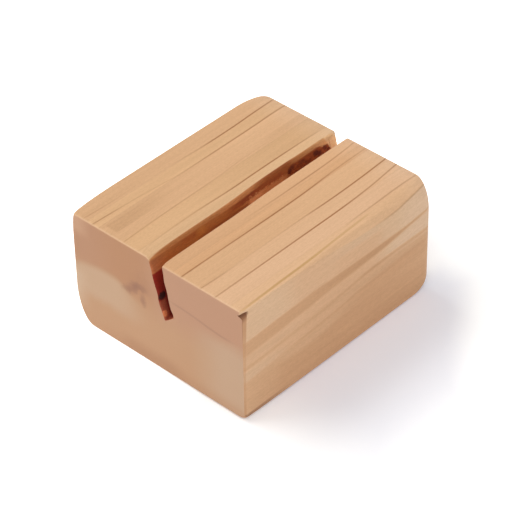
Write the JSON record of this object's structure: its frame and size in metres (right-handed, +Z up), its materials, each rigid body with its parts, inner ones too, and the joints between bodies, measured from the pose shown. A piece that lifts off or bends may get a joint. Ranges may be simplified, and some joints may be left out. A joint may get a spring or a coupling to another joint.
{
  "type": "card holder",
  "caption": "Block of edge-glued bamboo strips with a leaning slot sawn along its top, which holds a card, photo or sign upright on a table.",
  "frame": {"origin": "middle of the base, on the surface that the block stands on", "axes": "+X along the slot, +Z up, the front that the card faces is towards -Y"},
  "size_m": [0.06, 0.051, 0.03],
  "materials": {
    "bamboo_natural": "sanded, matt clear oil",
    "bamboo_warm": "sanded, matt clear oil",
    "bamboo_pale": "sanded, matt clear oil",
    "bamboo_front": "sanded, matt clear oil"
  },
  "bodies": {
    "root": {"strip_01_back_face": "bamboo_natural", "strip_02": "bamboo_natural", "strip_03": "bamboo_natural", "strip_04": "bamboo_warm", "strip_05_slot_back": "bamboo_pale", "strip_06_slot_front": "bamboo_natural", "strip_07": "bamboo_warm", "strip_08": "bamboo_natural", "strip_09": "bamboo_pale", "strip_10": "bamboo_pale", "strip_11_front_face": "bamboo_front"}
  },
  "joints": []
}
